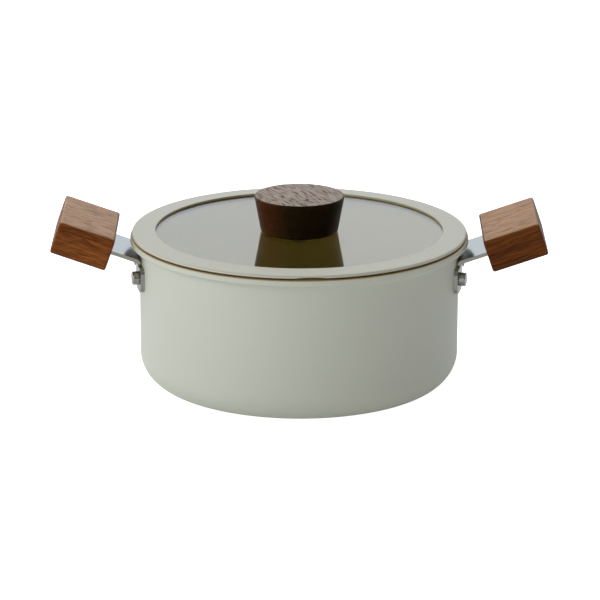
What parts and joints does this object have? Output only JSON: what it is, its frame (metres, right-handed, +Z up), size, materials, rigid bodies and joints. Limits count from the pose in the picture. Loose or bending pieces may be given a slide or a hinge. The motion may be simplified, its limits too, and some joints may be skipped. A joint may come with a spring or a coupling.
{
  "type": "saucepan with glass lid",
  "caption": "Low round cooking pot with rounded base, riveted steel brackets, block wood grips, and a flat glass lid with silicone rim and wood knob.",
  "frame": {"origin": "centre of the base, on the surface that the pan stands on", "axes": "+Z up along the pot's axis; X through the two handles; the front is -Y, where the lid's steam notch is"},
  "size_m": [0.3176, 0.218, 0.1252],
  "materials": {
    "cream_coating": "satin",
    "disc_steel": "satin",
    "polished_steel": "polished",
    "rivet_steel": "satin",
    "grip_wood": "satin",
    "knob_wood": "satin",
    "screw_steel": "satin",
    "insert_brass": "satin",
    "tinted_glass": "gloss",
    "cream_silicone": "matte",
    "clear_silicone": "matte"
  },
  "bodies": {
    "pot": {"pot_body": "cream_coating", "base_disc": "disc_steel", "left_bracket": "polished_steel", "right_bracket": "polished_steel", "left_front_rivet": "rivet_steel", "left_back_rivet": "rivet_steel", "right_front_rivet": "rivet_steel", "right_back_rivet": "rivet_steel", "left_grip": "grip_wood", "right_grip": "grip_wood", "left_grip_screws": "screw_steel", "right_grip_screws": "screw_steel", "left_grip_inserts": "insert_brass", "right_grip_inserts": "insert_brass"},
    "lid": {"lid_glass": "tinted_glass", "lid_ring": "cream_silicone", "lid_knob": "knob_wood", "knob_pad": "clear_silicone", "knob_insert": "insert_brass", "knob_screw": "screw_steel", "glass_hole_sleeve": "clear_silicone", "glass_gasket": "clear_silicone", "steel_washer": "screw_steel", "spring_washer": "screw_steel"}
  },
  "joints": [
    {"name": "lid_lift", "type": "slide", "parent": "pot", "child": "lid", "axis": [0, 0, 1], "range_m": [0, 0.12]}
  ]
}
